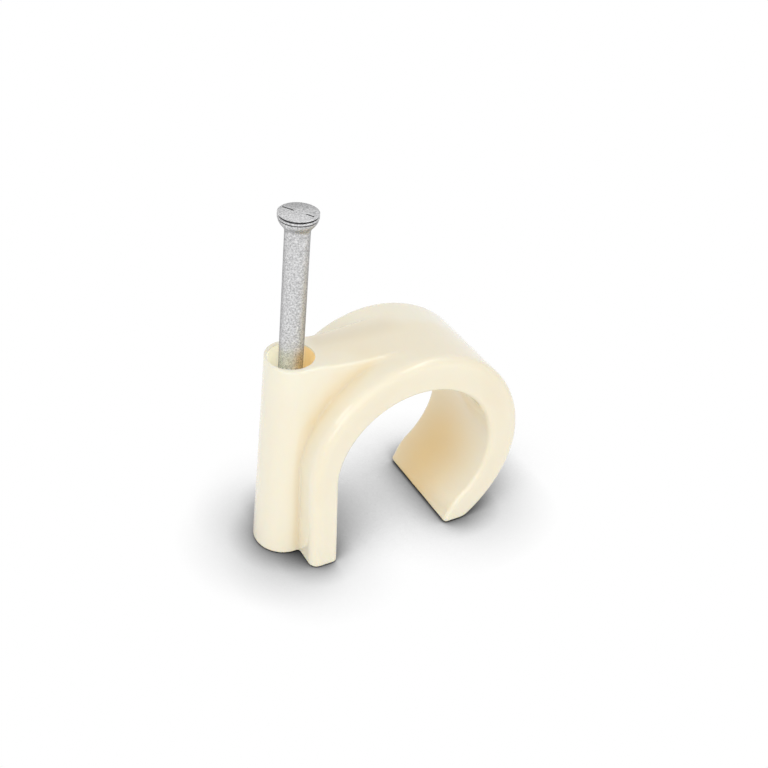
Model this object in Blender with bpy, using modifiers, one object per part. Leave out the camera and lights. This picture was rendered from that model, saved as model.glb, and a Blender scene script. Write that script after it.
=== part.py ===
"""Nail-in clip for a round cable, with its nail standing in the boss ready to be driven.

The clip is one moulding: a strap that wraps the cable, a tapered boss that guides the nail, and a
web that ties the boss to the strap. The nail is a second piece, loose enough in its bore to slide.
It stands as it is bought: the head well above the boss, the point just inside the wall face.

+Z points away from the wall, +Y runs along the cable, and +X runs from the boss to the hook.
The wall face lies in z = 0, and the origin is below the middle of the part's bounding box.
Profiles are worked out from the channel's own centre line, and shifted to the origin at the end.
"""

import math

import bmesh
import bpy
from mathutils import Matrix

MM = 0.001

# Cable channel and strap
CHANNEL_RADIUS = 7.3 * MM
CABLE_OFF_WALL = 0.8 * MM
STRAP_WIDTH = 10.0 * MM
LEG_THICKNESS = 2.45 * MM
CROWN_THICKNESS = 3.1 * MM
SIDE_THICKNESS = 3.0 * MM
TIP_THICKNESS = 2.8 * MM
TIP_BLEND = math.radians(45)
LEG_DRAFT = 0.3 * MM
OUTER_EDGE_RADIUS = 1.15 * MM
INNER_EDGE_RADIUS = 0.6 * MM
TIP_INNER_RADIUS = 1.0 * MM
TIP_OUTER_RADIUS = 1.6 * MM

# Nail boss and web
BOSS_OVER_CROWN = 0.2 * MM
BOSS_TOP_NOSE = 2.13 * MM
BOSS_TOP_HALF_WIDTH = 2.4 * MM
BOSS_BASE_NOSE = 2.5 * MM
BOSS_BASE_HALF_WIDTH = 2.65 * MM
WEB_DROP = 0.25 * MM
WEB_FLARE = 0.45 * MM
RIM_RADIUS = 0.1 * MM
WEB_EDGE_RADIUS = 0.3 * MM
BOSS_TO_STRAP = 0.4 * MM
MOUTH_DEPTH = 1.3 * MM

# Nail
SHANK_RADIUS = 1.0 * MM
NAIL_LENGTH = 30.0 * MM
NAIL_STAND_OFF = 1.45 * MM
HEAD_RADIUS = 1.6 * MM
HEAD_RIM = 0.28 * MM
HEAD_CONE = 1.25 * MM
HEAD_EDGE = 0.08 * MM
POINT_LENGTH = 3.2 * MM
POINT_RADIUS = 0.12 * MM
NAIL_LEAN = math.radians(1.8)

# Running clearances of the nail in the clip
SHANK_CLEARANCE = 0.3 * MM
HEAD_CLEARANCE = 0.33 * MM

# Fineness of the curves
ARC_STEP = math.radians(6)
ROUND_SEGMENTS = 32
EDGE_SEGMENTS = 4
MERGE = 0.000001
CUT_MARGIN = 1.0 * MM
SMOOTH_ANGLE = math.radians(35)

# Finishes: linear colour, roughness, metallic
CREAM_PLASTIC = ((0.90, 0.83, 0.66), 0.32, 0.0)
ZINC_PLATED_STEEL = ((0.62, 0.62, 0.63), 0.38, 1.0)

# Heights above the wall: the channel's centre line, and the mouth just above the crown
CHANNEL_HEIGHT = CHANNEL_RADIUS + CABLE_OFF_WALL
BOSS_HEIGHT = CHANNEL_HEIGHT + CHANNEL_RADIUS + CROWN_THICKNESS + BOSS_OVER_CROWN

# The nail's axis leans toward the hook: these are its places on the wall face and at the mouth.
AXIS_BASE_X = -(CHANNEL_RADIUS + LEG_THICKNESS + BOSS_TO_STRAP)
AXIS_MOUTH_X = AXIS_BASE_X + BOSS_HEIGHT * math.tan(NAIL_LEAN)

# The bounding box runs from the boss's foot to the strap's far side.
ORIGIN_SHIFT = -(AXIS_BASE_X - BOSS_BASE_NOSE + CHANNEL_RADIUS + SIDE_THICKNESS) / 2


def clear_scene():
    for item in list(bpy.data.objects):
        bpy.data.objects.remove(item, do_unlink=True)


def new_collection(name):
    collection = bpy.data.collections.new(name)
    bpy.context.scene.collection.children.link(collection)
    return collection


def principled(name, colour, roughness, metallic):
    material = bpy.data.materials.new(name)
    material.use_nodes = True
    shader = material.node_tree.nodes["Principled BSDF"]
    shader.inputs["Base Color"].default_value = (*colour, 1.0)
    shader.inputs["Roughness"].default_value = roughness
    shader.inputs["Metallic"].default_value = metallic
    return material


def new_object(name, mesh, collection, matrix=Matrix.Identity(4)):
    item = bpy.data.objects.new(name, mesh)
    item.matrix_world = Matrix.Translation((ORIGIN_SHIFT, 0, 0)) @ matrix
    collection.objects.link(item)
    return item


def mark_as_cutter(item):
    item.display_type = "WIRE"
    item.hide_render = True


def smoothstep(value):
    clipped = min(max(value, 0.0), 1.0)
    return clipped * clipped * (3 - 2 * clipped)


def strap_thickness(angle):
    """Wall at a polar angle about the channel: leg at 180 degrees, crown at 90, side at 0, then tip."""
    quarter = math.pi / 2
    if angle > quarter:
        share = smoothstep((angle - quarter) / quarter)
        return CROWN_THICKNESS + (LEG_THICKNESS - CROWN_THICKNESS) * share
    if angle > 0:
        share = smoothstep(1 - angle / quarter)
        return CROWN_THICKNESS + (SIDE_THICKNESS - CROWN_THICKNESS) * share
    share = smoothstep(-angle / TIP_BLEND)
    return SIDE_THICKNESS + (TIP_THICKNESS - SIDE_THICKNESS) * share


def arc(centre_x, centre_z, radius, start, end):
    """Points on an arc from the start angle to the end angle, both included."""
    steps = max(3, round(abs(end - start) / ARC_STEP))
    angles = [start + (end - start) * step / steps for step in range(steps + 1)]
    return [(centre_x + radius * math.cos(a), centre_z + radius * math.sin(a)) for a in angles]


def strap_outline():
    """The strap in side view, as (x, z, edge radius) from the foot's outer corner round to its inner one."""
    tip_reach = CHANNEL_RADIUS + TIP_INNER_RADIUS
    tip_angle = math.asin((TIP_INNER_RADIUS - CHANNEL_HEIGHT) / tip_reach)
    heel_reach = CHANNEL_RADIUS + TIP_THICKNESS - TIP_OUTER_RADIUS
    heel_angle = math.asin((TIP_OUTER_RADIUS - CHANNEL_HEIGHT) / heel_reach)

    outer = [(-CHANNEL_RADIUS - LEG_THICKNESS, 0.0)]
    steps = round((math.pi - heel_angle) / ARC_STEP)
    for step in range(steps + 1):
        angle = math.pi + (heel_angle - math.pi) * step / steps
        reach = CHANNEL_RADIUS + strap_thickness(angle)
        outer.append((reach * math.cos(angle), CHANNEL_HEIGHT + reach * math.sin(angle)))
    down = -math.pi / 2
    heel = arc(heel_reach * math.cos(heel_angle), TIP_OUTER_RADIUS, TIP_OUTER_RADIUS, heel_angle, down)
    toe = arc(tip_reach * math.cos(tip_angle), TIP_INNER_RADIUS, TIP_INNER_RADIUS, down, tip_angle - math.pi)
    inner = arc(0.0, CHANNEL_HEIGHT, CHANNEL_RADIUS, tip_angle, math.pi)

    points = [(x, z, OUTER_EDGE_RADIUS) for x, z in outer]
    for step, (x, z) in enumerate(heel[1:], start=1):
        share = step / (len(heel) - 1)
        points.append((x, z, OUTER_EDGE_RADIUS + (INNER_EDGE_RADIUS - OUTER_EDGE_RADIUS) * share))
    points += [(x, z, INNER_EDGE_RADIUS) for x, z in toe]
    points += [(x, z, INNER_EDGE_RADIUS) for x, z in inner[1:]]
    points.append((-CHANNEL_RADIUS, 0.0, INNER_EDGE_RADIUS))
    return points


def leg_half_width(x, z):
    """The leg widens towards the wall by its draft, and the rest of the strap keeps its width."""
    if x > 0 or z > CHANNEL_HEIGHT:
        return STRAP_WIDTH / 2
    return STRAP_WIDTH / 2 + LEG_DRAFT * (1 - z / CHANNEL_HEIGHT)


def strap_mesh():
    """The strap with the radius of each rim edge stored as that edge's bevel weight."""
    outline = strap_outline()
    form = bmesh.new()
    weights = form.edges.layers.float.new("bevel_weight_edge")
    sides = []
    for sign in (-1, 1):
        ring = [form.verts.new((x, sign * leg_half_width(x, z), z)) for x, z, _ in outline]
        sides.append(ring)
        form.faces.new(ring)
    count = len(outline)
    for index in range(count):
        after = (index + 1) % count
        form.faces.new((sides[0][index], sides[0][after], sides[1][after], sides[1][index]))
    largest = max(OUTER_EDGE_RADIUS, INNER_EDGE_RADIUS)
    for ring in sides:
        for index in range(count - 1):
            edge = form.edges.get((ring[index], ring[index + 1]))
            edge[weights] = (outline[index][2] + outline[index + 1][2]) / 2 / largest
    bmesh.ops.recalc_face_normals(form, faces=form.faces)
    mesh = bpy.data.meshes.new("strap")
    form.to_mesh(mesh)
    form.free()
    return mesh, largest


def web_section(nose_x, nose, half_width):
    """One level section as (x, y, outward x, outward y): a half ellipse, then flared sides to the crown."""
    turns = [math.radians(90 + 180 * step / (ROUND_SEGMENTS // 2)) for step in range(ROUND_SEGMENTS // 2 + 1)]
    section = []
    for angle in turns:
        out_x, out_y = math.cos(angle) / nose, math.sin(angle) / half_width
        length = math.hypot(out_x, out_y)
        x, y = nose_x + nose * math.cos(angle), half_width * math.sin(angle)
        section.append((x, y, out_x / length, out_y / length))
    mouth_edge = nose_x + HEAD_RADIUS + HEAD_CLEARANCE
    crown_end = 0.0
    flared = half_width + WEB_FLARE
    for x, y in ((mouth_edge, -half_width), (crown_end, -flared), (crown_end, flared), (mouth_edge, half_width)):
        section.append((x, y, 0.0, math.copysign(1.0, y)))
    return section


def web_mesh():
    """Boss and web as a loft from the wall face up to a rounded rim, before the channel is taken out."""
    mouth_edge = AXIS_MOUTH_X + HEAD_RADIUS + HEAD_CLEARANCE
    nose_end = AXIS_MOUTH_X - BOSS_TOP_NOSE
    form = bmesh.new()
    base = web_section(AXIS_BASE_X, BOSS_BASE_NOSE, BOSS_BASE_HALF_WIDTH)
    rings = [[form.verts.new((x, y, 0.0)) for x, y, _, _ in base]]
    for step in range(EDGE_SEGMENTS + 1):
        roll = math.pi / 2 * step / EDGE_SEGMENTS
        ring = []
        for x, y, out_x, out_y in web_section(AXIS_MOUTH_X, BOSS_TOP_NOSE, BOSS_TOP_HALF_WIDTH):
            share = smoothstep((x - nose_end) / (mouth_edge - nose_end))
            radius = RIM_RADIUS + (WEB_EDGE_RADIUS - RIM_RADIUS) * share
            inset = radius * (1 - math.cos(roll))
            drop = WEB_DROP * max(0.0, (x - mouth_edge) / -mouth_edge)
            height = BOSS_HEIGHT - drop - radius * (1 - math.sin(roll))
            ring.append(form.verts.new((x - inset * out_x, y - inset * out_y, height)))
        rings.append(ring)
    count = len(base)
    for lower, upper in zip(rings, rings[1:]):
        for index in range(count):
            after = (index + 1) % count
            form.faces.new((lower[index], lower[after], upper[after], upper[index]))
    top = rings[-1]
    form.faces.new(rings[0])
    form.faces.new(top[:-3] + top[-1:])
    form.faces.new(top[-4:])
    bmesh.ops.recalc_face_normals(form, faces=form.faces)
    mesh = bpy.data.meshes.new("web")
    form.to_mesh(mesh)
    form.free()
    return mesh


def core_mesh():
    """What the strap wraps, out to the middle of its wall: it keeps the web outside the channel."""
    reach = CHANNEL_RADIUS + min(LEG_THICKNESS, CROWN_THICKNESS) / 2
    outline = arc(0.0, CHANNEL_HEIGHT, reach, 0.0, math.pi)
    outline += [(-reach, -CUT_MARGIN), (reach, -CUT_MARGIN)]
    form = bmesh.new()
    half = BOSS_BASE_HALF_WIDTH + BOSS_TOP_HALF_WIDTH
    face = form.faces.new([form.verts.new((x, -half, z)) for x, z in outline])
    grown = bmesh.ops.extrude_face_region(form, geom=[face])
    moved = [item for item in grown["geom"] if isinstance(item, bmesh.types.BMVert)]
    bmesh.ops.translate(form, verts=moved, vec=(0, 2 * half, 0))
    bmesh.ops.recalc_face_normals(form, faces=form.faces)
    mesh = bpy.data.meshes.new("core")
    form.to_mesh(mesh)
    form.free()
    return mesh


def profile_mesh(name, profile):
    """An open (radius, height) profile as a chain of edges, for a Screw modifier."""
    mesh = bpy.data.meshes.new(name)
    edges = [(index, index + 1) for index in range(len(profile) - 1)]
    mesh.from_pydata([(radius, 0, height) for radius, height in profile], edges, [])
    return mesh


def turn(item):
    screw = item.modifiers.new("turned", "SCREW")
    screw.steps = ROUND_SEGMENTS
    screw.render_steps = ROUND_SEGMENTS
    screw.use_merge_vertices = True
    screw.merge_threshold = MERGE
    screw.use_smooth_shade = True


def boolean(item, operation, other):
    change = item.modifiers.new(other.name, "BOOLEAN")
    change.operation = operation
    change.solver = "EXACT"
    change.object = other


def nail_axis():
    """The nail's own frame: its origin is on the wall face, and its Z runs up the shank."""
    return Matrix.Translation((AXIS_BASE_X, 0, 0)) @ Matrix.Rotation(NAIL_LEAN, 4, "Y")


def bore_profile():
    """The mouth that takes the head, its conical seat, and the bore that guides the shank."""
    mouth_radius = HEAD_RADIUS + HEAD_CLEARANCE
    bore_radius = SHANK_RADIUS + SHANK_CLEARANCE
    seat_top = BOSS_HEIGHT - MOUTH_DEPTH
    return [
        (0.0, BOSS_HEIGHT + CUT_MARGIN),
        (mouth_radius, BOSS_HEIGHT + CUT_MARGIN),
        (mouth_radius, seat_top),
        (bore_radius, seat_top - HEAD_CONE),
        (bore_radius, -CUT_MARGIN),
        (0.0, -CUT_MARGIN),
    ]


def nail_profile():
    """A flat countersunk head on a plain round shank with a short point."""
    top = NAIL_STAND_OFF + NAIL_LENGTH
    return [
        (0.0, top),
        (HEAD_RADIUS - HEAD_EDGE, top),
        (HEAD_RADIUS, top - HEAD_EDGE),
        (HEAD_RADIUS, top - HEAD_RIM),
        (SHANK_RADIUS, top - HEAD_RIM - HEAD_CONE),
        (SHANK_RADIUS, NAIL_STAND_OFF + POINT_LENGTH),
        (POINT_RADIUS, NAIL_STAND_OFF),
        (0.0, NAIL_STAND_OFF),
    ]


def round_edges(item, largest):
    """Round the weighted edges, where a weight of one means the largest radius."""
    rounding = item.modifiers.new("rounded_edges", "BEVEL")
    rounding.limit_method = "WEIGHT"
    rounding.offset_type = "OFFSET"
    rounding.width = largest
    rounding.segments = EDGE_SEGMENTS


def build_clip(parts, cutters):
    mesh, largest = strap_mesh()
    clip = new_object("clip_body", mesh, parts)
    round_edges(clip, largest)

    web = new_object("boss_and_web", web_mesh(), cutters)
    core = new_object("channel_core", core_mesh(), cutters)
    bore = new_object("nail_bore", profile_mesh("bore", bore_profile()), cutters, nail_axis())
    turn(bore)
    boolean(web, "DIFFERENCE", core)
    boolean(clip, "UNION", web)
    boolean(clip, "DIFFERENCE", bore)
    for item in (web, core, bore):
        mark_as_cutter(item)
    clip.data.materials.append(principled("cream_plastic", *CREAM_PLASTIC))
    clip.data.shade_smooth()
    clip.data.set_sharp_from_angle(angle=SMOOTH_ANGLE)


def build_nail(parts):
    nail = new_object("nail", profile_mesh("nail", nail_profile()), parts, nail_axis())
    turn(nail)
    nail.data.materials.append(principled("zinc_plated_steel", *ZINC_PLATED_STEEL))


def main():
    clear_scene()
    parts = new_collection("nail_in_cable_clip")
    cutters = new_collection("cutters")
    build_clip(parts, cutters)
    build_nail(parts)


main()
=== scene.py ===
"""Looks of a nail-in cable clip: a cream moulded clip with its zinc-plated nail standing in the boss.

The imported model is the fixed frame: metres, +Z away from the wall, +Y along the cable, and +X from
the boss to the hook. Each piece here is modelled in that frame, with its object at the origin.
"""

import logging
import math
from dataclasses import dataclass
from enum import Enum
from typing import Sequence

import bmesh
import bpy
from mathutils import Matrix, Vector
from mathutils.bvhtree import BVHTree


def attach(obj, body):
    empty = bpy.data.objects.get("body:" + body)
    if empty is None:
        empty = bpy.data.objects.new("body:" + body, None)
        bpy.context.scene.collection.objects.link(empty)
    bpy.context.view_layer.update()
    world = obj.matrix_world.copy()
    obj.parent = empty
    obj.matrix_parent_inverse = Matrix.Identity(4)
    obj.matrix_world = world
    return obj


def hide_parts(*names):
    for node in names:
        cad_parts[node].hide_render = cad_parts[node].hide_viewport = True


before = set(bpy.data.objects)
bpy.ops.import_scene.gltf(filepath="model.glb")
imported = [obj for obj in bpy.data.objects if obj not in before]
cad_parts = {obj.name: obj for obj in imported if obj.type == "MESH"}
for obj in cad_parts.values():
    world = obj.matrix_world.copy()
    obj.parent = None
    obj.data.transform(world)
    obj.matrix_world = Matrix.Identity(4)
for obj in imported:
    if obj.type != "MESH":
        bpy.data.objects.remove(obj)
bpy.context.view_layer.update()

MM = 0.001
TINY = 0.0001 * MM
ROUND_SIDES = 96
LOG = logging.getLogger("cable_clip")

Colour = tuple[float, float, float]
Pair = tuple[float, float]
Points = list[Pair]
Reach = tuple[float, Vector]
Form = bmesh.types.BMesh
Mesh = bpy.types.Mesh
Socket = bpy.types.NodeSocket


def smoothstep(value: float) -> float:
    """A share from 0 to 1 that starts and ends gently, clipped outside."""
    clipped = min(max(value, 0.0), 1.0)
    return clipped * clipped * (3 - 2 * clipped)


def rise(value: float, start: float, end: float) -> float:
    """A share that goes gently from 0 at the start to 1 at the end, which may be the lower one."""
    return smoothstep((value - start) / (end - start))


def new_piece(name: str, data: bpy.types.ID) -> bpy.types.Object:
    """Link a mesh, lamp or camera to the scene as an object at the origin.

    Args:
        name: The object's name.
        data: What it shows.

    Returns:
        The new object.
    """
    piece = bpy.data.objects.new(name, data)
    bpy.context.scene.collection.objects.link(piece)
    return piece


def mesh_from(form: Form, name: str) -> Mesh:
    """Turn a bmesh into a smooth-shaded mesh with its faces pointing outwards.

    Args:
        form: The bmesh, which is freed.
        name: The mesh's name.

    Returns:
        The mesh.
    """
    bmesh.ops.recalc_face_normals(form, faces=form.faces)
    mesh = bpy.data.meshes.new(name)
    form.to_mesh(mesh)
    form.free()
    mesh.shade_smooth()
    return mesh


def applied(piece: bpy.types.Object, name: str) -> Mesh:
    """The mesh of an object with its modifiers applied; the object itself is removed.

    Args:
        piece: The object with live modifiers.
        name: The new mesh's name.

    Returns:
        The finished mesh.
    """
    graph = bpy.context.evaluated_depsgraph_get()
    mesh = bpy.data.meshes.new_from_object(piece.evaluated_get(graph))
    mesh.name = name
    bpy.data.objects.remove(piece, do_unlink=True)
    return mesh


class Change(Enum):
    """The ways in which one solid changes another."""

    JOIN = "UNION"
    TAKE_AWAY = "DIFFERENCE"


def combine(mesh: Mesh, other: Mesh, change: Change, name: str) -> Mesh:
    """Join two closed meshes, or take the second away from the first.

    Args:
        mesh: The solid that is changed.
        other: The solid that changes it.
        change: Whether it is joined or taken away.
        name: The new mesh's name.

    Returns:
        The resulting mesh.
    """
    base, tool = new_piece("base", mesh), new_piece("tool", other)
    cut = base.modifiers.new("cut", "BOOLEAN")
    cut.operation, cut.solver, cut.object = change.value, "EXACT", tool
    result = applied(base, name)
    bpy.data.objects.remove(tool, do_unlink=True)
    return result


def arc(centre: Pair, radius: float, start: float, end: float, step: float) -> Points:
    """Points on an arc in side view.

    Args:
        centre: The arc's centre as (x, z).
        radius: The arc's radius.
        start: The angle of its first point.
        end: The angle of its last point.
        step: About how far apart the points are, as an angle.

    Returns:
        The points as (x, z), both ends included.
    """
    count = max(3, round(abs(end - start) / step))
    angles = [start + (end - start) * index / count for index in range(count + 1)]
    return [(centre[0] + radius * math.cos(a), centre[1] + radius * math.sin(a)) for a in angles]


def eased(start: Pair, bend: Pair, end: Pair, count: int) -> Points:
    """Points on a curve that leaves one point toward a bend and arrives at another from it.

    Args:
        start: The curve's first point.
        bend: Where its two end directions meet.
        end: Its last point.
        count: How many steps it has.

    Returns:
        The points, both ends included.
    """
    points = []
    for step in range(count + 1):
        share = step / count
        weights = ((1 - share) ** 2, 2 * share * (1 - share), share**2)
        spot = [sum(w * p[axis] for w, p in zip(weights, (start, bend, end))) for axis in (0, 1)]
        points.append(tuple(spot))
    return points


def lathe(profile: Sequence[Pair], place: Matrix) -> Form:
    """Spin a (radius, height) profile into a closed round solid.

    Args:
        profile: The profile, from the axis at one end to the axis at the other.
        place: Where the solid's own frame stands.

    Returns:
        The bmesh, with its doubles merged.
    """
    form = bmesh.new()
    points = [form.verts.new((radius, 0.0, height)) for radius, height in profile]
    edges = [form.edges.new(pair) for pair in zip(points, points[1:])]
    turn = {"cent": (0, 0, 0), "axis": (0, 0, 1), "angle": math.tau, "steps": ROUND_SIDES}
    bmesh.ops.spin(form, geom=points + edges, use_merge=True, **turn)
    bmesh.ops.remove_doubles(form, verts=form.verts, dist=TINY)
    bmesh.ops.transform(form, matrix=place, verts=form.verts)
    return form


class Solid:
    """A closed mesh that says how far a point is from its skin, and which way is out.

    A point is inside only where it lies well behind the nearest face: beside an edge that face
    alone can't tell.
    """

    well_behind: float = 0.5

    def __init__(self, mesh: Mesh) -> None:
        """Read the mesh into a search tree."""
        form = bmesh.new()
        form.from_mesh(mesh)
        bmesh.ops.triangulate(form, faces=form.faces)
        self.tree = BVHTree.FromBMesh(form)
        form.free()

    def distance(self, spot: Vector) -> Reach:
        """Distance to the skin, below zero inside, and the outward direction.

        Args:
            spot: The point.

        Returns:
            The distance, and the direction in which it grows.
        """
        nearest, normal, _, away = self.tree.find_nearest(spot)
        offset = spot - nearest
        if away < TINY:
            return offset.dot(normal), normal
        if offset.dot(normal) < -self.well_behind * away:
            return -away, -offset / away
        return away, offset / away


def rounded(one: Reach, two: Reach, corner: float) -> Reach:
    """The lesser of two distances and its direction, rounded where they are nearly equal.

    Args:
        one: A distance, and the direction in which it grows.
        two: Another one.
        corner: How far apart the two may be and still be rounded.

    Returns:
        The rounded distance, and its direction.
    """
    if two[0] < one[0]:
        one, two = two, one
    share = max(0.0, 1 - (two[0] - one[0]) / corner) if corner > TINY else 0.0
    return one[0] - share * share * corner / 4, one[1] * (1 - share / 2) + two[1] * (share / 2)


@dataclass(frozen=True)
class Depth:
    """Measures how enclosed and how thick a mesh is round each of its points, from 0 to 1."""

    outer_rays: int = 20
    inner_rays: int = 8
    outer_reach: float = 11.0 * MM
    inner_reach: float = 7.0 * MM
    reach_loss: float = 0.5
    lift: float = 0.02 * MM
    blur_passes: int = 4

    def directions(self, count: int) -> list[Vector]:
        """Directions over a hemisphere about +Z, closer together near its pole."""
        golden = math.pi * (3 - math.sqrt(5))
        spread = []
        for index in range(count):
            share = (index + 0.5) / count
            radius, turn = math.sqrt(share), index * golden
            spread.append(Vector((radius * math.cos(turn), radius * math.sin(turn), math.sqrt(1 - share))))
        return spread

    def spread_out(self, mesh: Mesh, values: list[float]) -> list[float]:
        """Values averaged with those of neighbouring points, a few times over."""
        for _ in range(self.blur_passes):
            sums, counts = list(values), [1] * len(values)
            for edge in mesh.edges:
                one, two = edge.vertices
                sums[one] += values[two]
                sums[two] += values[one]
                counts[one] += 1
                counts[two] += 1
            values = [total / count for total, count in zip(sums, counts)]
        return values

    def measure(self, mesh: Mesh) -> tuple[list[float], list[float]]:
        """Cast rays out of and into the mesh from every point.

        Args:
            mesh: The mesh.

        Returns:
            How enclosed each point is, and how thick the solid is behind it.
        """
        spots = [vert.co.copy() for vert in mesh.vertices]
        tree = BVHTree.FromPolygons(spots, [tuple(face.vertices) for face in mesh.polygons])
        outer, inner = self.directions(self.outer_rays), self.directions(self.inner_rays)
        closed, thick = [], []
        for vert in mesh.vertices:
            upright, lift = vert.normal.to_track_quat("Z", "Y").to_matrix(), vert.normal * self.lift
            total = 0.0
            for direction in outer:
                away = tree.ray_cast(vert.co + lift, upright @ direction, self.outer_reach)[3]
                if away is not None:
                    total += 1 - self.reach_loss * away / self.outer_reach
            closed.append(total / self.outer_rays)
            total = 0.0
            for direction in inner:
                away = tree.ray_cast(vert.co - lift, upright @ -direction, self.inner_reach)[3]
                total += 1 if away is None else away / self.inner_reach
            thick.append(total / self.inner_rays)
        return self.spread_out(mesh, closed), self.spread_out(mesh, thick)


def store(mesh: Mesh, name: str, values: Sequence[float]) -> None:
    """Keep one number for each point of a mesh, for its material to read."""
    mesh.attributes.new(name, "FLOAT", "POINT").data.foreach_set("value", values)


@dataclass(frozen=True)
class NailLine:
    """The axis that the nail, its bore and the boss share; it leans toward the hook."""

    base_x: float = -8.975 * MM
    lean: float = math.radians(1.8)

    def place(self) -> Matrix:
        """The nail's own frame: its origin on the wall face, and its Z up the shank."""
        return Matrix.Translation((self.base_x, 0, 0)) @ Matrix.Rotation(self.lean, 4, "Y")

    def x_at(self, height: float) -> float:
        """Where the axis is at a height above the wall."""
        return self.base_x + height * math.tan(self.lean)


def joined(tree: bpy.types.NodeTree, operation: str, one: Socket, two: Socket | float) -> Socket:
    """A Math node of two numbers.

    Args:
        tree: The node tree it joins.
        operation: What it does.
        one: Its first number.
        two: Its second number, linked or plain.

    Returns:
        The result.
    """
    node = tree.nodes.new("ShaderNodeMath")
    node.operation = operation
    tree.links.new(one, node.inputs[0])
    if isinstance(two, float):
        node.inputs[1].default_value = two
    else:
        tree.links.new(two, node.inputs[1])
    return node.outputs[0]


def seen(tree: bpy.types.NodeTree) -> Socket:
    """One where the background is seen, straight or in a gloss or glass, and zero where it lights."""
    path = tree.nodes.new("ShaderNodeLightPath").outputs
    straight = joined(tree, "MAXIMUM", path["Is Camera Ray"], path["Is Glossy Ray"])
    return joined(tree, "MAXIMUM", straight, path["Is Transmission Ray"])


def grain_group() -> bpy.types.ShaderNodeTree:
    """The node group of fine grain that both finishes use, built once.

    Returns:
        A group that takes a Vector, a Scale and a Contrast, and puts out a Mask round 0.5.
    """
    name = "fine_grain"
    if name in bpy.data.node_groups:
        return bpy.data.node_groups[name]
    group = bpy.data.node_groups.new(name, "ShaderNodeTree")
    group.interface.new_socket("Vector", in_out="INPUT", socket_type="NodeSocketVector")
    for label in ("Scale", "Contrast"):
        group.interface.new_socket(label, in_out="INPUT", socket_type="NodeSocketFloat")
    group.interface.new_socket("Mask", in_out="OUTPUT", socket_type="NodeSocketFloat")
    nodes, links = group.nodes, group.links
    inlet, outlet = nodes.new("NodeGroupInput"), nodes.new("NodeGroupOutput")
    noise = nodes.new("ShaderNodeTexNoise")
    noise.inputs["Detail"].default_value = 3.0
    noise.inputs["Roughness"].default_value = 0.6
    links.new(inlet.outputs["Vector"], noise.inputs["Vector"])
    links.new(inlet.outputs["Scale"], noise.inputs["Scale"])
    centred = joined(group, "SUBTRACT", noise.outputs["Fac"], 0.5)
    scaled = joined(group, "MULTIPLY_ADD", centred, inlet.outputs["Contrast"])
    scaled.node.inputs[2].default_value = 0.5
    links.new(scaled, outlet.inputs["Mask"])
    return group


class Bench:
    """One material being put together, with the nodes that every finish starts from."""

    def __init__(self, name: str) -> None:
        """Start a material with its Principled shader and Object coordinates."""
        self.material = bpy.data.materials.new(name)
        self.material.use_nodes = True
        self.nodes = self.material.node_tree.nodes
        self.links = self.material.node_tree.links
        self.shader = self.nodes["Principled BSDF"]
        self.place = self.nodes.new("ShaderNodeTexCoord").outputs["Object"]

    def grain(self, size: float, contrast: float) -> Socket:
        """A mask of fine grain, about the given size across."""
        node = self.nodes.new("ShaderNodeGroup")
        node.node_tree = grain_group()
        node.inputs["Scale"].default_value = 1.0 / size
        node.inputs["Contrast"].default_value = contrast
        self.links.new(self.place, node.inputs["Vector"])
        return node.outputs["Mask"]

    def point_value(self, attribute: str) -> Socket:
        """A number that the mesh stores at its points."""
        node = self.nodes.new("ShaderNodeAttribute")
        node.attribute_name = attribute
        return node.outputs["Fac"]

    def between(self, mask: Socket, low: Colour | Socket, high: Colour) -> Socket:
        """A colour that goes with a mask from low, plain or another node's, to high."""
        mix = self.nodes.new("ShaderNodeMix")
        mix.data_type, mix.clamp_factor = "RGBA", True
        if isinstance(low, Socket):
            self.links.new(low, mix.inputs[6])
        else:
            mix.inputs[6].default_value = (*low, 1)
        mix.inputs[7].default_value = (*high, 1)
        self.links.new(mask, mix.inputs[0])
        return mix.outputs[2]

    def ranged(self, mask: Socket, low: float, high: float, start: float = 0.0, end: float = 1.0) -> Socket:
        """A number that goes from low to high as a mask goes from start to end."""
        span = self.nodes.new("ShaderNodeMapRange")
        span.inputs["From Min"].default_value, span.inputs["From Max"].default_value = start, end
        span.inputs["To Min"].default_value, span.inputs["To Max"].default_value = low, high
        self.links.new(mask, span.inputs["Value"])
        return span.outputs["Result"]

    def relief(self, height: Socket, depth: float, strength: float) -> Socket:
        """The direction of a surface that a height raises, as bump."""
        bump = self.nodes.new("ShaderNodeBump")
        bump.inputs["Distance"].default_value, bump.inputs["Strength"].default_value = depth, strength
        self.links.new(height, bump.inputs["Height"])
        return bump.outputs["Normal"]

    def feed(self, inputs: dict[str, Socket | float | Colour]) -> None:
        """Feed the shader's inputs, by name, from other nodes or with plain values."""
        for name, value in inputs.items():
            if isinstance(value, Socket):
                self.links.new(value, self.shader.inputs[name])
            else:
                self.shader.inputs[name].default_value = value


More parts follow.
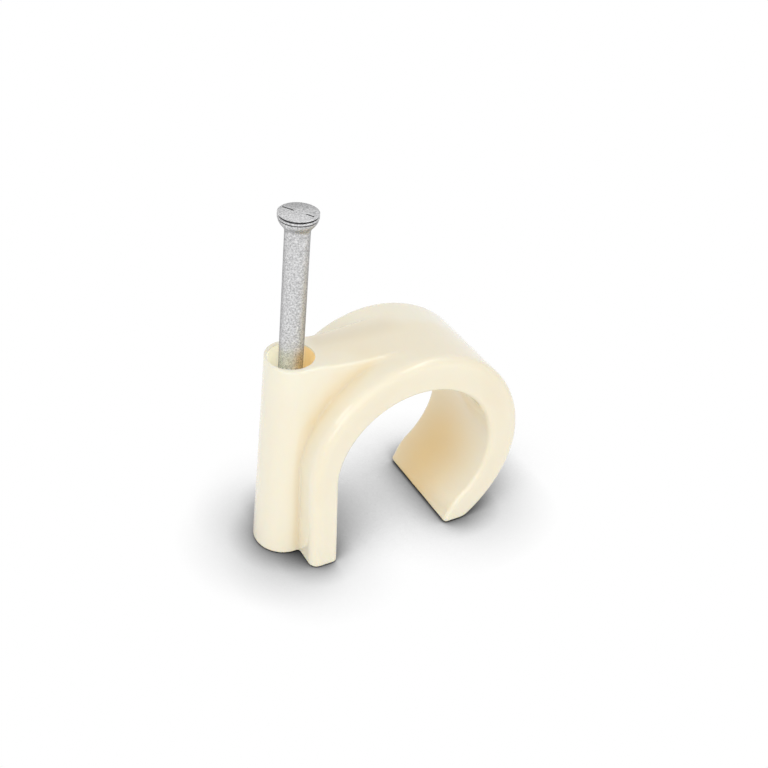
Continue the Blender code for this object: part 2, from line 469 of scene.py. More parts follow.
@dataclass(frozen=True)
class CreamPlastic:
    """Glossy cream plastic that lets a little light through, with painted light and shade in its colour: a
    painted warm tone for shade in hollows, creases and the hook and for light in thick plastic, a painted
    darker band on the web's top, and a painted glow in the bore.
    """

    pale: Colour = (0.935, 0.878, 0.725)
    cloudy: Colour = (0.920, 0.855, 0.690)
    # Painted shade and light: the warm tone stands for shade in hollows, creases and the hook, and for light
    # scattered in thick plastic.
    painted_warm_tone: Colour = (0.800, 0.560, 0.215)
    # Painted shade: the darker colour of the band on the far half of the web's top.
    shaded: Colour = (0.760, 0.660, 0.480)
    # Painted light: emission colours that make the bore look lit through its walls, thin and thick.
    thin_painted_glow: Colour = (0.27, 0.30, 0.27)
    thick_painted_glow: Colour = (0.29, 0.19, 0.06)
    gloss: float = 0.06
    dull: float = 0.09
    coat: float = 0.35
    coat_dull: float = 0.02
    valley_shade_share: float = 0.50
    painted_glow_span: Pair = (0.10, 0.75)
    scatter: float = 0.4
    scatter_colours: Colour = (1.0, 0.8, 0.5)
    scatter_reach: float = 0.6 * MM
    bending: float = 1.49
    mottle: float = 6.0 * MM
    mottle_contrast: float = 1.6
    peel: float = 0.9 * MM
    peel_contrast: float = 1.2

    def material(self) -> bpy.types.Material:
        """The finished material."""
        bench = Bench("cream_plastic")
        skin = bench.between(bench.grain(self.mottle, self.mottle_contrast), self.cloudy, self.pale)
        # Painted shade and light: the stored share mixes the warm tone into the skin.
        painted_shade_and_light = bench.point_value("painted_shade_and_light")
        skin_with_painted_tone = bench.between(painted_shade_and_light, skin, self.painted_warm_tone)
        # Painted shade: the darker band on the web's top.
        painted_valley_shade = bench.ranged(bench.point_value("painted_valley_shade"), 0.0, self.valley_shade_share)
        # Painted light: the bore glows, from the thin to the thick colour by the warm share.
        depth = bench.ranged(painted_shade_and_light, 0.0, 1.0, *self.painted_glow_span)
        painted_glow = bench.between(depth, self.thin_painted_glow, self.thick_painted_glow)
        outside = bench.ranged(bench.point_value("painted_glow"), 1.0, 0.0)
        peel = bench.grain(self.peel, self.peel_contrast)
        bench.feed(
            {
                "Base Color": bench.between(painted_valley_shade, skin_with_painted_tone, self.shaded),
                "Emission Color": bench.between(outside, painted_glow, (0, 0, 0)),
                "Emission Strength": 1.0,
                "Roughness": bench.ranged(peel, self.dull, self.gloss),
                "Coat Weight": self.coat,
                "Coat Roughness": self.coat_dull,
                "Subsurface Weight": self.scatter,
                "Subsurface Radius": self.scatter_colours,
                "Subsurface Scale": self.scatter_reach,
                "IOR": self.bending,
            }
        )
        return bench.material


@dataclass(frozen=True)
class ZincPlate:
    """Dull zinc plating with a fine crystalline grain, and painted shade in its crevices."""

    dark: Colour = (0.43, 0.43, 0.435)
    light: Colour = (0.87, 0.87, 0.875)
    # Painted shade: a near-black colour in the crevices under the head.
    crevice_shade_colour: Colour = (0.05, 0.05, 0.052)
    edge: Colour = (0.45, 0.45, 0.45)
    grain_size: float = 0.13 * MM
    grain_contrast: float = 3.2
    grain_height: float = 0.008 * MM
    grain_strength: float = 0.5
    gloss: float = 0.34
    dull: float = 0.48

    def material(self) -> bpy.types.Material:
        """The finished material."""
        bench = Bench("zinc_plate")
        grain = bench.grain(self.grain_size, self.grain_contrast)
        plate = bench.between(grain, self.dark, self.light)
        bench.feed(
            {
                "Base Color": bench.between(bench.point_value("crevice_shade"), plate, self.crevice_shade_colour),
                "Roughness": bench.ranged(grain, self.dull, self.gloss),
                "Metallic": 1.0,
                "Specular Tint": (*self.edge, 1),
                "Normal": bench.relief(grain, self.grain_height, self.grain_strength),
            }
        )
        return bench.material


@dataclass(frozen=True)
class PaintedShadeAndLight:
    """Where painted shade and painted light make the plastic look warmer or darker, and by how much, matched
    to the photo.

    Each pair is a start and an end between which a share rises from 0 to 1.
    """

    # Painted light: warmth for light scattered through thick plastic.
    thick_painted_light: float = 0.18
    thick: Pair = (0.35, 0.85)
    # Painted shade in hollows, by how enclosed a point is.
    hollow_painted_shade: float = 0.42
    hollow: Pair = (0.12, 0.62)
    before_crown: Pair = (-0.6 * MM, -3.8 * MM)
    # Painted shade in the crease between web and strap, and on the web's side beside it.
    crease_painted_shade: float = 0.15
    crease: Pair = (0.0, 0.22 * MM)
    web_painted_shade: float = 0.07
    web_side: Pair = (0.0, 1.6 * MM)
    # Painted shade on the hook's inner face, fading toward its rims and upward.
    hook_painted_shade: float = 0.70
    hook_from: Pair = (3.0 * MM, 4.0 * MM)
    hook_facing: Pair = (-0.2, -0.5)
    hook_rim: Pair = (0.0, 0.6)
    hook_middle: float = 1.6 * MM
    hook_sides: Pair = (0.0, 7.2 * MM)
    hook_height: Pair = (3.5 * MM, 10.0 * MM)
    hook_fading: float = 0.65
    behind_side: Pair = (0.5 * MM, 2.0 * MM)
    behind_height: Pair = (14.0 * MM, 16.0 * MM)
    behind_fading: float = 0.85
    # Painted light: warmth in the bore, stronger on its side toward the web.
    bore_painted_light: float = 0.75
    bore_turn: Pair = (-0.6, 0.8)
    # Painted shade: where the darker band on the web's top lies.
    valley_facing: Pair = (0.8, 0.95)
    valley_height: Pair = (17.2 * MM, 18.2 * MM)
    valley_middle: float = 1.4 * MM
    valley_sides: Pair = (0.0, 1.9 * MM)
    valley_start: Pair = (-6.6 * MM, -5.6 * MM)
    valley_end: Pair = (0.4 * MM, 3.0 * MM)

    def valley_shade_at(self, spot: Vector, normal: Vector) -> float:
        """Share of the darker painted shade band on the far half of the web's top."""
        on_top = rise(normal.z, *self.valley_facing) * rise(spot.z, *self.valley_height)
        band = 1 - rise(abs(spot.y - self.valley_middle), *self.valley_sides)
        return on_top * band * rise(spot.x, *self.valley_start) * (1 - rise(spot.x, *self.valley_end))

    def hook_shade_at(self, spot: Vector, normal: Vector) -> float:
        """Share of the amber painted shade on the hook's inner face."""
        share = rise(spot.x, *self.hook_from) * rise(normal.x, *self.hook_facing)
        share *= 1 - rise(abs(normal.y), *self.hook_rim)
        share *= 1 - rise(abs(spot.y - self.hook_middle), *self.hook_sides)
        return share * (1 - self.hook_fading * rise(spot.z, *self.hook_height))

    def fading_at(self, spot: Vector) -> float:
        """How much of the painted shade and light is lost on the high far side."""
        return self.behind_fading * rise(spot.y, *self.behind_side) * rise(spot.z, *self.behind_height)

    def crease_shade_at(self, spot: Vector, to_strap: float, to_web: float) -> float:
        """Painted shade beside the corner where web and strap meet, by the distance to each of them."""
        apart = max(to_strap, to_web)
        value = self.crease_painted_shade * (1 - rise(apart, *self.crease))
        if to_web < to_strap:
            value += self.web_painted_shade * (1 - rise(apart, *self.web_side))
        return value * rise(spot.x, *self.before_crown)


@dataclass
class ClipBody:
    """The moulding: a strap round the cable, a boss for the nail, and the web between them."""

    line: NailLine
    finish: CreamPlastic
    painted_tints: PaintedShadeAndLight
    centre_x: float = 1.175 * MM
    centre_z: float = 8.1 * MM
    channel_radius: float = 7.3 * MM
    half_width: float = 5.0 * MM
    leg_draft: float = 0.3 * MM
    leg_wall: float = 2.45 * MM
    crown_wall: float = 3.1 * MM
    side_wall: float = 2.995 * MM
    tip_wall: float = 2.8 * MM
    tip_blend: float = math.radians(45)
    outer_edge: float = 1.15 * MM
    inner_edge: float = 0.6 * MM
    tip_edge: float = 0.5 * MM
    tip_angle: float = math.radians(-53.0)
    tip_blend_angle: float = math.radians(-45.0)
    inner_blend_angle: float = math.radians(30)
    toe_lean: float = math.radians(25.3)
    toe_radius: float = 0.35 * MM
    heel_radius: float = 1.6 * MM
    hook_gap: float = 0.01 * MM
    boss_height: float = 18.7 * MM
    nose_top: float = 2.13 * MM
    nose_base: float = 2.5 * MM
    half_top: float = 2.4 * MM
    half_base: float = 2.65 * MM
    web_drop: float = 0.22 * MM
    web_flare: float = 0.45 * MM
    rim_round: float = 0.1 * MM
    web_round: float = 0.2 * MM
    mouth_radius: float = 1.93 * MM
    bore_radius: float = 1.3 * MM
    mouth_depth: float = 1.3 * MM
    mouth_rings: Pair = (0.15 * MM, 0.5 * MM)
    mouth_slack: float = 0.01 * MM
    seat_height: float = 1.25 * MM
    low_fillet: float = 0.12 * MM
    high_fillet: float = 0.55 * MM
    fillet_foot: float = 1.0 * MM
    fillet_crown: Pair = (0.2 * MM, -1.2 * MM)
    fillet_rise: Pair = (0.88, 0.98)
    web_bow: float = 0.25 * MM
    bow_start: Pair = (-0.6 * MM, 1.0 * MM)
    bow_end: Pair = (0.35, 0.85)
    bow_beyond: Pair = (0.0, 0.4 * MM)
    bow_depth: Pair = (-1.6 * MM, -0.4 * MM)
    foot_round: float = 0.3 * MM
    foot_depth: float = 1.0 * MM
    voxel: float = 0.13 * MM
    settle_rounds: int = 3
    least_slope: float = 0.3
    evening: float = 0.3
    sharp_angle: float = math.radians(50)
    arc_step: float = math.radians(1.5)
    round_steps: int = 8

    def wall(self, angle: float) -> float:
        """Wall thickness at an angle about the channel: 180 degrees at the leg, 0 at the side."""
        quarter = math.pi / 2
        if angle > quarter:
            return self.crown_wall + (self.leg_wall - self.crown_wall) * smoothstep(angle / quarter - 1)
        if angle > 0:
            return self.crown_wall + (self.side_wall - self.crown_wall) * smoothstep(1 - angle / quarter)
        return self.side_wall + (self.tip_wall - self.side_wall) * smoothstep(-angle / self.tip_blend)

    def side_view(self) -> list[tuple[float, float, float]]:
        """The strap in side view.

        Returns:
            Points as (x, z, edge radius), from the foot's outer corner round to its inner one.
        """
        toe_height = self.hook_gap + self.toe_radius
        end_x = self.centre_x + self.channel_radius * math.cos(self.tip_angle)
        end_z = self.centre_z + self.channel_radius * math.sin(self.tip_angle)
        toe_in = (self.toe_radius - math.sin(self.toe_lean) * (end_z - toe_height)) / math.cos(self.toe_lean)
        heel_reach = self.channel_radius + self.tip_wall - self.heel_radius
        heel_height = self.hook_gap + self.heel_radius
        heel_angle = math.asin((heel_height - self.centre_z) / heel_reach)
        middle, down, fine = self.centre_x, -math.pi / 2, 4 * self.arc_step

        outer = [(middle - self.channel_radius - self.leg_wall, -self.foot_depth)]
        steps = round((math.pi - heel_angle) / self.arc_step)
        for step in range(steps + 1):
            angle = math.pi + (heel_angle - math.pi) * step / steps
            reach = self.channel_radius + self.wall(angle)
            outer.append((middle + reach * math.cos(angle), self.centre_z + reach * math.sin(angle)))
        heel_centre = (middle + heel_reach * math.cos(heel_angle), heel_height)
        toe_centre = (end_x + toe_in, toe_height)
        heel = arc(heel_centre, self.heel_radius, heel_angle, down, fine)[1:]
        toe = arc(toe_centre, self.toe_radius, down, -math.pi - self.toe_lean, fine)
        channel = (middle, self.centre_z)
        inner = arc(channel, self.channel_radius, self.tip_blend_angle, math.pi, self.arc_step)
        face_end = ((toe[-1][0] + end_x) / 2, (toe[-1][1] + end_z) / 2)
        toe += eased(face_end, (end_x, end_z), inner[0], self.round_steps)[:-1]
        inner.append((middle - self.channel_radius, -self.foot_depth))

        points = [(x, z, self.outer_edge) for x, z in outer]
        for step, (x, z) in enumerate(heel, start=1):
            share = step / len(heel)
            points.append((x, z, self.outer_edge + (self.tip_edge - self.outer_edge) * share))
        points += [(x, z, self.tip_edge) for x, z in toe]
        for step, (x, z) in enumerate(inner):
            share = smoothstep(step * self.arc_step / self.inner_blend_angle)
            points.append((x, z, self.tip_edge + (self.inner_edge - self.tip_edge) * share))
        return points

    def draw_out(self, form: Form, ring: list[bmesh.types.BMVert]) -> None:
        """Draw a ring of points out along the cable, from one side of the strap to the other."""
        grown = bmesh.ops.extrude_face_region(form, geom=[form.faces.new(ring)])
        moved = [item for item in grown["geom"] if isinstance(item, bmesh.types.BMVert)]
        bmesh.ops.translate(form, verts=moved, vec=(0, 2 * self.half_width, 0))

    def strap(self) -> Mesh:
        """The strap: its side view drawn out along the cable, with rounded rims."""
        form = bmesh.new()
        radii = form.verts.layers.float.new("radius")
        ring = []
        for x, z, radius in self.side_view():
            vert = form.verts.new((x, -self.half_width, z))
            vert[radii] = radius
            ring.append(vert)
        self.draw_out(form, ring)
        weights = form.edges.layers.float.new("bevel_weight_edge")
        for edge in form.edges:
            one, two = edge.verts
            along_cable = abs(one.co.y - two.co.y) > TINY
            under_foot = max(one.co.z, two.co.z) < -self.foot_depth / 2
            if not along_cable and not under_foot:
                edge[weights] = (one[radii] + two[radii]) / 2 / self.outer_edge
        for vert in form.verts:
            if vert.co.x < self.centre_x and vert.co.z < self.centre_z:
                widening = self.leg_draft * (1 - vert.co.z / self.centre_z)
                vert.co.y += math.copysign(widening, vert.co.y)
        strap = new_piece("strap", mesh_from(form, "strap"))
        rounding = strap.modifiers.new("rounded_rims", "BEVEL")
        rounding.limit_method, rounding.offset_type = "WEIGHT", "OFFSET"
        rounding.width, rounding.segments = self.outer_edge, self.round_steps
        return applied(strap, "strap")

    def mouth_edge(self) -> float:
        """Where the nail's mouth ends toward the strap."""
        return self.line.x_at(self.boss_height) + self.mouth_radius

    def web_section(self, height: float, nose: float, half: float) -> list[tuple[Vector, Vector]]:
        """One level section of the boss and web.

        Args:
            height: The section's height above the wall, where the axis is taken.
            nose: How far the boss reaches beyond the axis.
            half: Half the section's width.

        Returns:
            Points with their outward directions, in plan: a half ellipse, then straight sides.
        """
        axis_x = self.line.x_at(height)
        count = 4 * self.round_steps
        section = []
        for step in range(count + 1):
            angle = math.pi / 2 + math.pi * step / count
            outward = Vector((math.cos(angle) / nose, math.sin(angle) / half)).normalized()
            section.append((Vector((axis_x + nose * math.cos(angle), half * math.sin(angle))), outward))
        straight = axis_x + self.mouth_radius
        for x, spread, side in (
            (straight, 0.0, -1),
            (self.centre_x, self.web_flare, -1),
            (self.centre_x, self.web_flare, 1),
            (straight, 0.0, 1),
        ):
            section.append((Vector((x, side * (half + spread))), Vector((0, side))))
        return section

    def top_at(self, x: float) -> float:
        """Height of the web's top: level round the mouth, then falling to the crown."""
        run = self.centre_x - self.mouth_edge()
        return self.boss_height - self.web_drop * max(0.0, (x - self.mouth_edge()) / run)

    def web(self) -> Mesh:
        """Boss and web, lofted from the wall face to a rounded rim."""
        axis_x = self.line.x_at(self.boss_height)
        nose_end = axis_x - self.nose_top
        form = bmesh.new()
        base = self.web_section(0.0, self.nose_base, self.half_base)
        rings = []
        for height in (-self.foot_depth, 0.0):
            rings.append([form.verts.new((*place, height)) for place, _ in base])
        rim = self.web_section(self.boss_height, self.nose_top, self.half_top)
        for step in range(self.round_steps + 1):
            roll = math.pi / 2 * step / self.round_steps
            ring = []
            for place, outward in rim:
                share = smoothstep((place.x - nose_end) / (self.mouth_edge() - nose_end))
                radius = self.rim_round + (self.web_round - self.rim_round) * share
                spot = place - outward * radius * (1 - math.cos(roll))
                ring.append(form.verts.new((*spot, self.top_at(place.x) - radius * (1 - math.sin(roll)))))
            rings.append(ring)
        loops = []
        for ring in rings:
            loops.append([form.edges.new(pair) for pair in zip(ring, ring[1:] + ring[:1])])
        for lower, upper in zip(loops, loops[1:]):
            bmesh.ops.bridge_loops(form, edges=lower + upper)
        top = rings[-1]
        form.faces.new(rings[0])
        form.faces.new(top[:-3] + top[-1:])
        form.faces.new(top[-4:])
        return mesh_from(form, "web")

    def core(self) -> Mesh:
        """What the strap wraps, out to the middle of its wall: it keeps the web out of the channel."""
        reach = self.channel_radius + self.leg_wall / 2
        outline = arc((self.centre_x, self.centre_z), reach, 0.0, math.pi, self.arc_step)
        below = -self.foot_depth - MM
        outline += [(self.centre_x - reach, below), (self.centre_x + reach, below)]
        form = bmesh.new()
        self.draw_out(form, [form.verts.new((x, -self.half_width, z)) for x, z in outline])
        return mesh_from(form, "core")

    def ground(self) -> Mesh:
        """A block under the wall face, which trims both feet level."""
        form = bmesh.new()
        bmesh.ops.create_cube(form, size=4 * self.boss_height)
        bmesh.ops.translate(form, verts=form.verts, vec=(0, 0, -2 * self.boss_height))
        return mesh_from(form, "ground")

    def bore(self) -> Mesh:
        """The mouth for the head, its conical seat, and the bore that guides the shank."""
        seat = self.boss_height - self.mouth_depth
        profile = [
            (0.0, self.boss_height + MM),
            (self.mouth_radius, self.boss_height + MM),
            *((self.mouth_radius, self.boss_height - depth) for depth in self.mouth_rings),
            (self.mouth_radius, seat),
            (self.bore_radius, seat - self.seat_height),
            (self.bore_radius, -MM),
            (0.0, -MM),
        ]
        return mesh_from(lathe(profile, self.line.place()), "bore")

    def fillet_at(self, spot: Vector) -> float:
        """Radius of the inner corner between web and strap, which fades at the wall and on the crown."""
        foot = smoothstep((spot.z - self.foot_round) / self.fillet_foot)
        crown = rise(spot.x - self.centre_x, *self.fillet_crown)
        high = rise(spot.z / self.boss_height, *self.fillet_rise)
        return foot * crown * (self.low_fillet + (self.high_fillet - self.low_fillet) * high)

    def settle(self, spot: Vector, strap: Solid, web: Solid) -> Vector:
        """Move one point onto the moulded skin, with its fillets and its rounded foot.

        Args:
            spot: A point on or near the sharp solid.
            strap: The strap, longer than its feet.
            web: The boss and web, longer than their foot.

        Returns:
            The point on the rounded skin.
        """
        up = Vector((0, 0, 1))
        for _ in range(self.settle_rounds):
            to_strap, to_web = strap.distance(spot), web.distance(spot)
            corner = self.fillet_at(spot) * (1 - to_strap[1].dot(to_web[1]))
            value, outward = rounded(to_strap, to_web, corner)
            corner = self.foot_round * (1 - outward.normalized().dot(-up))
            value, outward = rounded((-value, -outward), (spot.z, up), corner)
            spot = spot - outward * (value / max(self.least_slope, outward.length_squared))
        return spot

    def moulded(self, sharp: Mesh, strap: Solid, web: Solid) -> Mesh:
        """Mesh the solid evenly and round its inner corners and its foot, as a mould leaves them.

        Args:
            sharp: The joined solid with sharp inner corners.
            strap: The strap before it was joined.
            web: The boss and web before they were joined.

        Returns:
            The rounded mesh.
        """
        form_object = new_piece("sharp", sharp)
        even = new_piece("even", sharp.copy())
        remesh = even.modifiers.new("even", "REMESH")
        remesh.mode, remesh.voxel_size, remesh.use_smooth_shade = "VOXEL", self.voxel, True
        wrap = even.modifiers.new("wrap", "SHRINKWRAP")
        wrap.target, wrap.wrap_method = form_object, "NEAREST_SURFACEPOINT"
        mesh = applied(even, "moulded")
        bpy.data.objects.remove(form_object, do_unlink=True)
        form = bmesh.new()
        form.from_mesh(mesh)
        moved = []
        for vert in form.verts:
            low = vert.co.z < 2 * self.foot_round
            near = max(strap.distance(vert.co)[0], web.distance(vert.co)[0]) < self.high_fillet
            if low or near:
                vert.co = self.settle(vert.co, strap, web)
                moved.append(vert)
        bmesh.ops.smooth_vert(
            form, verts=moved, factor=self.evening, use_axis_x=True, use_axis_y=True, use_axis_z=True
        )
        for vert in form.verts:
            vert.co.z -= self.bowed(vert.co)
        return mesh_from(form, "moulded")

    def bowed(self, spot: Vector) -> float:
        """How far the web's top falls away toward its two long edges."""
        start, end = self.mouth_edge(), self.centre_x
        share = (spot.x - start) / (end - start)
        half = self.half_top + self.web_flare * min(max(share, 0.0), 1.0)
        along = rise(spot.x - start, *self.bow_start) * (1 - rise(share, *self.bow_end))
        beyond = max(0.0, abs(spot.y) - half)
        across = min(1.0, abs(spot.y) / half) ** 2 * (1 - rise(beyond, *self.bow_beyond))
        depth = rise(spot.z - self.top_at(spot.x), *self.bow_depth)
        return self.web_bow * along * across * depth

    def dress(self, mesh: Mesh, strap: Solid, web: Solid) -> None:
        """Store the painted shade and light: a warm tone for shade in hollows, creases and the hook and for
        light in thick plastic and the bore, a darker band on the web's top, and a glow in the mouth.

        Args:
            mesh: The finished mesh, which gets the three attributes.
            strap: The strap before it was joined.
            web: The boss and web before they were joined.
        """
        painted_tints, to_nail = self.painted_tints, self.line.place().inverted()
        painted_shade_and_light, painted_glow, painted_valley_shade = [], [], []
        for vert, enclosed, thickness in zip(mesh.vertices, *Depth().measure(mesh)):
            spot, normal = vert.co, vert.normal
            # Painted shade and light: the hook's amber shade, thickness for light scattered in the plastic,
            # enclosure and the crease for shade.
            hook = painted_tints.hook_shade_at(spot, normal)
            value = painted_tints.thick_painted_light * rise(thickness, *painted_tints.thick)
            value += painted_tints.hollow_painted_shade * rise(enclosed, *painted_tints.hollow)
            value += painted_tints.crease_shade_at(spot, strap.distance(spot)[0], web.distance(spot)[0])
            value += painted_tints.hook_painted_shade * hook
            local = to_nail @ spot
            beside = math.hypot(local.x, local.y) < self.mouth_radius + self.mouth_slack
            in_bore = beside and spot.z < self.boss_height - 2 * self.mouth_slack
            if in_bore:
                # Painted light: in the bore the warm tone stands in for light coming through the wall,
                # warmer toward the web.
                value = painted_tints.bore_painted_light * rise(local.x / self.mouth_radius, *painted_tints.bore_turn)
            value *= 1 - painted_tints.fading_at(spot) * (1 - hook)
            painted_shade_and_light.append(min(1.0, value))
            # Painted light: the bore's points glow.
            painted_glow.append(1.0 if in_bore else 0.0)
            # Painted shade: the band on the web's top.
            painted_valley_shade.append(painted_tints.valley_shade_at(spot, normal))
        store(mesh, "painted_shade_and_light", painted_shade_and_light)
        store(mesh, "painted_glow", painted_glow)
        store(mesh, "painted_valley_shade", painted_valley_shade)

    def build(self) -> bpy.types.Object:
        """Model and dress the whole moulding.

        Returns:
            The piece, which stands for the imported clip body.
        """
        strap = self.strap()
        web = combine(self.web(), self.core(), Change.TAKE_AWAY, "web")
        sides = Solid(strap), Solid(web)
        joined = combine(strap, web, Change.JOIN, "joined")
        sharp = combine(joined, self.ground(), Change.TAKE_AWAY, "sharp")
        LOG.info("sharp solid: %d points", len(sharp.vertices))
        mesh = combine(self.moulded(sharp, *sides), self.bore(), Change.TAKE_AWAY, "clip_moulding")
        mesh.shade_smooth()
        mesh.set_sharp_from_angle(angle=self.sharp_angle)
        piece = new_piece("clip_moulding", mesh)
        self.dress(mesh, *sides)
        mesh.materials.clear()
        mesh.materials.append(self.finish.material())
        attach(piece, "clip")
        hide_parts("clip_body")
        LOG.info("clip moulding: %d triangles", sum(len(face.vertices) - 2 for face in mesh.polygons))
        return piece


@dataclass
class Nail:
    """A plain steel nail with a flat countersunk head and a short point."""

    line: NailLine
    finish: ZincPlate
    stand_off: float = 1.45 * MM
    length: float = 29.998 * MM
    shank_radius: float = 1.0 * MM
    head_radius: float = 1.6 * MM
    head_rim: float = 0.28 * MM
    head_cone: float = 1.25 * MM
    point_length: float = 3.2 * MM
    point_radius: float = 0.12 * MM
    mark_width: float = 0.13 * MM
    mark_depth: float = 0.07 * MM
    mark_turn: float = math.radians(-56.0)
    mark_spans: tuple[Pair, ...] = ((-1.40 * MM, -0.40 * MM), (0.64 * MM, 1.34 * MM))
    cone_steps: int = 12
    cone_sag: float = 0.05 * MM
    crevice_shade: Pair = (0.25, 0.65)
    crevices: Depth = Depth(outer_reach=0.5 * MM, lift=0.002 * MM, blur_passes=0)
    sharp_angle: float = math.radians(40)

    def edge(self) -> Points:
        """The head's grooved edge, as insets from its rim and depths below its top, in millimetres."""
        crown = [(0.04, 0.0), (0.0, 0.03), (0.0, 0.06)]
        groove = [(0.16, 0.08), (0.16, 0.20)]
        bead = [(0.02, 0.22), (0.0, 0.24), (0.01, 0.37), (0.03, 0.39)]
        neck = [(0.12, 0.41), (0.12, 0.46), (0.05, 0.48)]
        return crown + groove + bead + neck

    def marks(self) -> Mesh:
        """Two short tool marks in one line across the head, as solids to cut it with."""
        form = bmesh.new()
        top = self.stand_off + self.length
        for start, end in self.mark_spans:
            size = (end - start, self.mark_width, 2 * self.mark_depth)
            cube = bmesh.ops.create_cube(form, size=1.0)["verts"]
            bmesh.ops.scale(form, verts=cube, vec=size)
            bmesh.ops.translate(form, verts=cube, vec=((start + end) / 2, 0, top))
        turn = Matrix.Rotation(self.mark_turn, 3, "Z")
        bmesh.ops.rotate(form, verts=form.verts, cent=(0, 0, 0), matrix=turn)
        bmesh.ops.transform(form, matrix=self.line.place(), verts=form.verts)
        return mesh_from(form, "marks")

    def build(self) -> bpy.types.Object:
        """Model and dress the nail.

        Returns:
            The piece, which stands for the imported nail.
        """
        top = self.stand_off + self.length
        rim, neck = self.head_radius, top - self.head_rim - self.head_cone
        profile = [(0.0, top)]
        profile += [(rim - inset * MM, top - depth * MM) for inset, depth in self.edge()]
        start, end = profile[-1], (self.shank_radius, neck)
        for step in range(1, self.cone_steps + 1):
            share = step / self.cone_steps
            sag = self.cone_sag * math.sin(math.tau * share)
            radius = start[0] + (end[0] - start[0]) * share + sag
            profile.append((max(radius, self.shank_radius), start[1] + (end[1] - start[1]) * share))
        profile += [
            (self.shank_radius, self.stand_off + self.point_length),
            (self.point_radius, self.stand_off),
            (0.0, self.stand_off),
        ]
        turned = mesh_from(lathe(profile, self.line.place()), "steel_nail")
        mesh = combine(turned, self.marks(), Change.TAKE_AWAY, "steel_nail")
        # Painted shade: the more enclosed a point, the darker its colour.
        enclosed = self.crevices.measure(mesh)[0]
        store(mesh, "crevice_shade", [rise(value, *self.crevice_shade) for value in enclosed])
        mesh.shade_smooth()
        mesh.set_sharp_from_angle(angle=self.sharp_angle)
        mesh.materials.append(self.finish.material())
        piece = new_piece("steel_nail", mesh)
        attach(piece, "nail")
        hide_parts("nail")
        return piece


@dataclass
class Viewpoint:
    """The camera, placed by the direction it looks in and by the point that it frames."""

    azimuth: float = math.radians(-30.771)
    elevation: float = math.radians(35.483)
    roll: float = math.radians(4.105)
    focal_pixels: float = 1250.0
    image_pixels: float = 768.0
    sensor: float = 36.0
    framed: Vector = Vector((1.175 * MM, 0.0, 0.16 * MM))
    framed_at: Pair = (383.312, 500.0)
    depth: float = 113.948 * MM

    def axes(self) -> tuple[Vector, Vector, Vector]:
        """The camera's right, up and back directions."""
        az, el = self.azimuth, self.elevation
        back = Vector((math.sin(az) * math.cos(el), -math.cos(az) * math.cos(el), math.sin(el)))
        level = Vector((math.cos(az), math.sin(az), 0.0))
        upright = back.cross(level)
        turn, lift = math.cos(self.roll), math.sin(self.roll)
        return level * turn + upright * lift, upright * turn - level * lift, back

    def build(self) -> None:
        """Make the camera and give it to the scene."""
        right, up, back = self.axes()
        middle = self.image_pixels / 2
        across = (self.framed_at[0] - middle) / self.focal_pixels * self.depth
        below = (self.framed_at[1] - middle) / self.focal_pixels * self.depth
        centre = self.framed - right * across + up * below + back * self.depth
        data = bpy.data.cameras.new("photo_view")
        data.sensor_width, data.sensor_fit = self.sensor, "HORIZONTAL"
        data.lens = self.focal_pixels / self.image_pixels * self.sensor
        data.clip_start, data.clip_end = MM, 10.0
        camera = new_piece("photo_view", data)
        rotation = Matrix((right, up, back)).transposed().to_4x4()
        camera.matrix_world = Matrix.Translation(centre) @ rotation
        bpy.context.scene.camera = camera


@dataclass(frozen=True)
class SoftBox:
    """One soft lamp, placed by direction from the object; a gleam-only lamp shows in gloss alone."""

    name: str
    azimuth: float
    elevation: float
    distance: float
    size: float
    radiance: float
    height: float | None = None
    gleam_only: bool = False

    def build(self, target: Vector) -> None:
        """Hang the lamp so that it faces the target."""
        az, el = math.radians(self.azimuth), math.radians(self.elevation)
        back = Vector((math.sin(az) * math.cos(el), -math.cos(az) * math.cos(el), math.sin(el)))
        data = bpy.data.lights.new(self.name, "AREA")
        data.shape, data.size, data.size_y = "RECTANGLE", self.size, self.height or self.size
        data.energy = self.radiance * math.pi * data.size * data.size_y
        lamp = new_piece(self.name, data)
        lamp.visible_diffuse = not self.gleam_only
        turn = back.to_track_quat("Z", "Y").to_matrix().to_4x4()
        lamp.matrix_world = Matrix.Translation(target + back * self.distance) @ turn


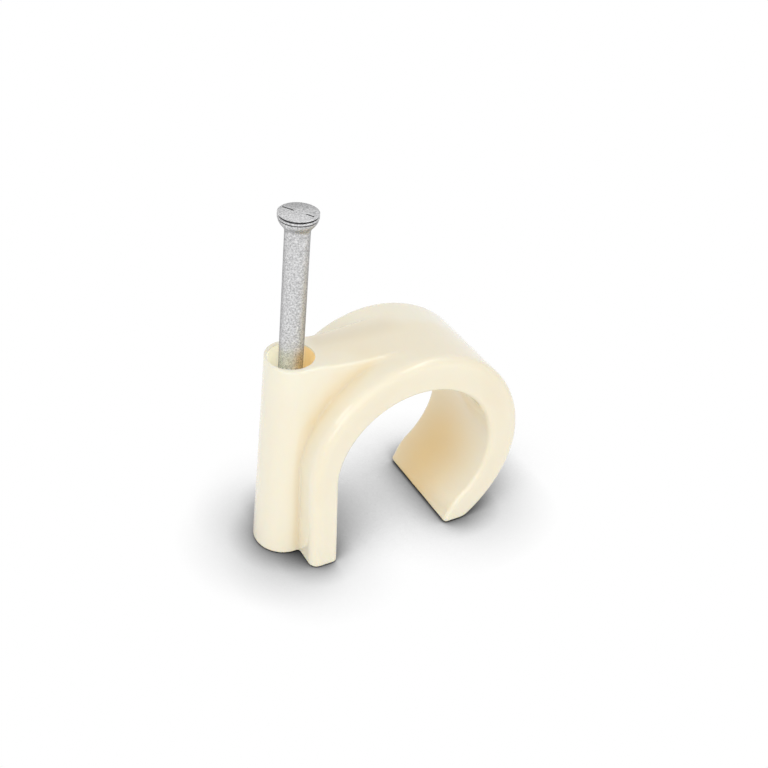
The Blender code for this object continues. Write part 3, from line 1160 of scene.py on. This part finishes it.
@dataclass
class Studio:
    """A white floor with a painted shadow, a white surround, and soft lamps.

    The floor's shade, matched to the photo, is a painted shadow: where it is seen, the floor is emission
    darkened by how open it is within three reaches, not lit or shaded by the lamps.
    """

    floor_size: float = 1.2
    floor_drop: float = 0.01 * MM
    floor_white: float = 0.88
    near_reach: float = 2.5 * MM
    near_depth: float = 0.88
    far_reach: float = 7.0 * MM
    far_depth: float = 1.12
    arch_reach: float = 18.0 * MM
    arch_depth: float = 0.42
    arch_span: Pair = (0.39, 0.70)
    away: tuple[float, float, float] = (0.17, 0.12, 0.978)
    under: tuple[float, float, float] = (-0.45, -0.30, 0.841)
    contact_samples: int = 12
    sky: float = 0.785
    lit_height: float = 9.0 * MM

    def floor(self) -> None:
        """The floor, a touch below the part so that the two don't share a plane."""
        form = bmesh.new()
        bmesh.ops.create_grid(form, x_segments=1, y_segments=1, size=self.floor_size / 2)
        bmesh.ops.translate(form, verts=form.verts, vec=(0, 0, -self.floor_drop))
        piece = new_piece("floor", mesh_from(form, "floor"))
        bench = Bench("white_floor")
        nodes, links, tree = bench.nodes, bench.links, bench.material.node_tree
        open_sky = []
        for reach, towards in (
            (self.near_reach, self.away),
            (self.far_reach, self.away),
            (self.arch_reach, self.under),
        ):
            facing = nodes.new("ShaderNodeCombineXYZ")
            for socket, value in zip(facing.inputs, towards):
                socket.default_value = value
            contact = nodes.new("ShaderNodeAmbientOcclusion")
            contact.samples = self.contact_samples
            contact.inputs["Distance"].default_value = reach
            links.new(facing.outputs["Vector"], contact.inputs["Normal"])
            open_sky.append(contact.outputs["AO"])
        # Painted shadow: three occlusion terms with tilted directions, multiplied into the floor's shade.
        near = joined(tree, "POWER", open_sky[0], self.near_depth)
        far = joined(tree, "POWER", open_sky[1], self.far_depth)
        arch = bench.ranged(open_sky[2], self.arch_depth, 1.0, *self.arch_span)
        painted_shadow = joined(tree, "MULTIPLY", near, far)
        painted_shadow = joined(tree, "MULTIPLY", painted_shadow, arch)
        visible = seen(tree)
        bench.feed(
            {
                "Base Color": bench.between(visible, (self.floor_white,) * 3, (0, 0, 0)),
                "Roughness": 1.0,
                "Specular IOR Level": 0.0,
                "Emission Color": bench.between(painted_shadow, (0, 0, 0), (1, 1, 1)),
                "Emission Strength": visible,
            }
        )
        piece.data.materials.append(bench.material)

    def surround(self) -> None:
        """The world: an even pale sky for light, plain white where the camera sees it."""
        world = bpy.data.worlds.new("surround")
        bpy.context.scene.world = world
        world.use_nodes = True
        tree = world.node_tree
        background = tree.nodes["Background"]
        background.inputs["Color"].default_value = (1, 1, 1, 1)
        strength = tree.nodes.new("ShaderNodeMapRange")
        strength.inputs["To Min"].default_value, strength.inputs["To Max"].default_value = self.sky, 1.0
        tree.links.new(seen(tree), strength.inputs["Value"])
        tree.links.new(strength.outputs["Result"], background.inputs["Strength"])

    def build(self) -> None:
        """Set up the whole studio."""
        self.floor()
        self.surround()
        target = Vector((0, 0, self.lit_height))
        for lamp in (
            SoftBox("front", -31.0, 28.0, 0.50, 0.50, 0.47),
            SoftBox("front_left", -48.0, 14.0, 0.40, 0.20, 1.1),
            SoftBox("front_high", 24.0, 46.0, 0.40, 0.15, 1.9),
            SoftBox("gleam_left", -89.0, 31.0, 0.40, 0.15, 2.3, gleam_only=True),
            SoftBox("gleam_high", 56.0, 55.0, 0.40, 0.20, 2.6, 0.08, gleam_only=True),
        ):
            lamp.build(target)
        bpy.context.scene.view_settings.view_transform = "Standard"


def main() -> None:
    """Build the pieces in order, then the studio and the camera."""
    logging.basicConfig(level=logging.INFO, format="%(name)s: %(message)s")
    line = NailLine()
    ClipBody(line, CreamPlastic(), PaintedShadeAndLight()).build()
    Nail(line, ZincPlate()).build()
    Studio().build()
    Viewpoint().build()


if __name__ == "__main__":
    main()
